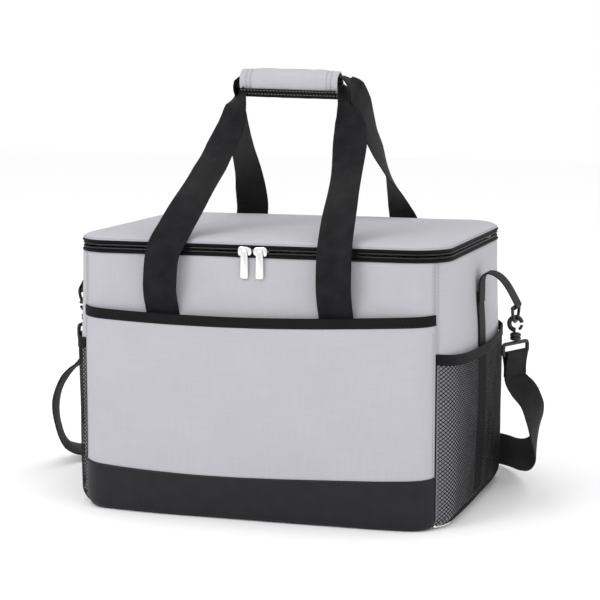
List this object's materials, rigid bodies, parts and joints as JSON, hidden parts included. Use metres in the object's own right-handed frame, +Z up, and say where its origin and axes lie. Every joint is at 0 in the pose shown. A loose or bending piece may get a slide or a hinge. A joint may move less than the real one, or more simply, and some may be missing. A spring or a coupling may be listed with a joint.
{
  "type": "insulated cooler bag",
  "caption": "Soft insulated cooler bag with a zipped lid that lifts, two webbing handles joined by a wrapped grip, front and mesh side pockets, and a clip-on shoulder strap.",
  "frame": {"origin": "middle of the bag's underside, on the surface it stands on", "axes": "+Z up, front faces -Y, +X to the right seen from the front"},
  "size_m": [0.5985, 0.3895, 0.4745],
  "materials": {
    "grey_fabric": "matt woven polyester",
    "black_fabric": "matt black webbing, binding and zip tape",
    "base_fabric": "coated black fabric with a slight sheen",
    "mesh": "open black net",
    "foil": "silver foil lining",
    "foam": "white insulating foam",
    "chrome": "polished zip hardware",
    "plastic": "black moulded plastic"
  },
  "bodies": {
    "bag_body": {"bottom_panel": "base_fabric", "front_panel": "grey_fabric", "back_panel": "grey_fabric", "left_side_panel": "grey_fabric", "right_side_panel": "grey_fabric", "front_foam": "foam", "back_foam": "foam", "left_foam": "foam", "right_foam": "foam", "bottom_foam": "foam", "liner": "foil", "back_base_band": "base_fabric", "front_base_band": "base_fabric", "front_pocket_panel": "grey_fabric", "front_pocket_binding": "black_fabric", "left_mesh_pocket": "mesh", "left_mesh_pocket_binding": "black_fabric", "right_mesh_pocket": "mesh", "right_mesh_pocket_binding": "black_fabric", "left_side_webbing": "black_fabric", "right_side_webbing": "black_fabric", "front_left_handle_anchor": "black_fabric", "front_right_handle_anchor": "black_fabric", "back_left_handle_anchor": "black_fabric", "back_right_handle_anchor": "black_fabric", "zip_lower_tape": "black_fabric", "zip_lower_coil": "plastic", "back_hinge_strip": "black_fabric"},
    "lid": {"lid_shell": "grey_fabric", "lid_foam": "foam", "lid_liner": "foil", "zip_upper_tape": "black_fabric", "zip_upper_coil": "plastic", "lid_hinge_hem": "black_fabric"},
    "front_handle": {"front_handle_webbing": "black_fabric"},
    "grip_flap": {"grip_wrap_flap": "grey_fabric", "grip_loop_tape": "black_fabric"},
    "back_handle": {"back_handle_webbing": "black_fabric", "grip_wrap_base": "grey_fabric"},
    "left_slider": {"left_zip_slider": "chrome"},
    "right_slider": {"right_zip_slider": "chrome"},
    "left_pull": {"left_zip_pull": "chrome"},
    "right_pull": {"right_zip_pull": "chrome"},
    "shoulder_strap": {"shoulder_webbing": "black_fabric", "left_loop_tab": "black_fabric", "left_d_ring": "plastic", "left_hook": "plastic", "left_swivel": "plastic", "left_strap_eye": "plastic", "left_strap_loop": "black_fabric", "right_loop_tab": "black_fabric", "right_d_ring": "plastic", "right_hook": "plastic", "right_swivel": "plastic", "right_strap_eye": "plastic", "right_strap_loop": "black_fabric"},
    "left_gate": {"left_hook_gate": "plastic"},
    "right_gate": {"right_hook_gate": "plastic"},
    "adjuster": {"strap_adjuster": "plastic"}
  },
  "joints": [
    {"name": "lid_open", "type": "hinge", "parent": "bag_body", "child": "lid", "pos_m": [0, 0.15, 0.2875], "axis": [-1, 0, 0], "range_deg": [0, 95]},
    {"name": "front_handle_fold", "type": "hinge", "parent": "bag_body", "child": "front_handle", "pos_m": [0, -0.1605, 0.2245], "axis": [1, 0, 0], "range_deg": [0, 160]},
    {"name": "back_handle_fold", "type": "hinge", "parent": "bag_body", "child": "back_handle", "pos_m": [0, 0.1605, 0.2245], "axis": [-1, 0, 0], "range_deg": [0, 160]},
    {"name": "grip_flap_open", "type": "hinge", "parent": "front_handle", "child": "grip_flap", "pos_m": [0, 0, 0.4745], "axis": [-1, 0, 0], "range_deg": [0, 110]},
    {"name": "left_slider_run", "type": "slide", "parent": "bag_body", "child": "left_slider", "axis": [-1, 0, 0], "range_m": [0, 0.14]},
    {"name": "right_slider_run", "type": "slide", "parent": "bag_body", "child": "right_slider", "axis": [1, 0, 0], "range_m": [0, 0.14]},
    {"name": "left_pull_swing", "type": "hinge", "parent": "left_slider", "child": "left_pull", "pos_m": [-0.0085, -0.1539, 0.2875], "axis": [-1, 0, 0], "range_deg": [0, 150]},
    {"name": "right_pull_swing", "type": "hinge", "parent": "right_slider", "child": "right_pull", "pos_m": [0.0085, -0.1539, 0.2875], "axis": [-1, 0, 0], "range_deg": [0, 150]},
    {"name": "shoulder_strap_lift", "type": "hinge", "parent": "bag_body", "child": "shoulder_strap", "pos_m": [0, 0, 0.247], "axis": [1, 0, 0], "range_deg": [0, 135]},
    {"name": "left_gate_press", "type": "hinge", "parent": "shoulder_strap", "child": "left_gate", "pos_m": [-0.25971, 0, 0.19516], "axis": [0, 1, 0], "range_deg": [0, 18], "stiffness_Nm_per_rad": 0.01, "springref_deg": -17.19},
    {"name": "right_gate_press", "type": "hinge", "parent": "shoulder_strap", "child": "right_gate", "pos_m": [0.25471, 0, 0.19516], "axis": [0, -1, 0], "range_deg": [0, 18], "stiffness_Nm_per_rad": 0.01, "springref_deg": -17.19},
    {"name": "adjuster_slide", "type": "slide", "parent": "shoulder_strap", "child": "adjuster", "axis": [1, 0, 0], "range_m": [-0.08, 0.02]}
  ],
  "couplings": [
    {"joint": "front_handle_fold", "follows": "lid_open", "ratio": 1.66},
    {"joint": "back_handle_fold", "follows": "lid_open", "ratio": 1.66}
  ]
}
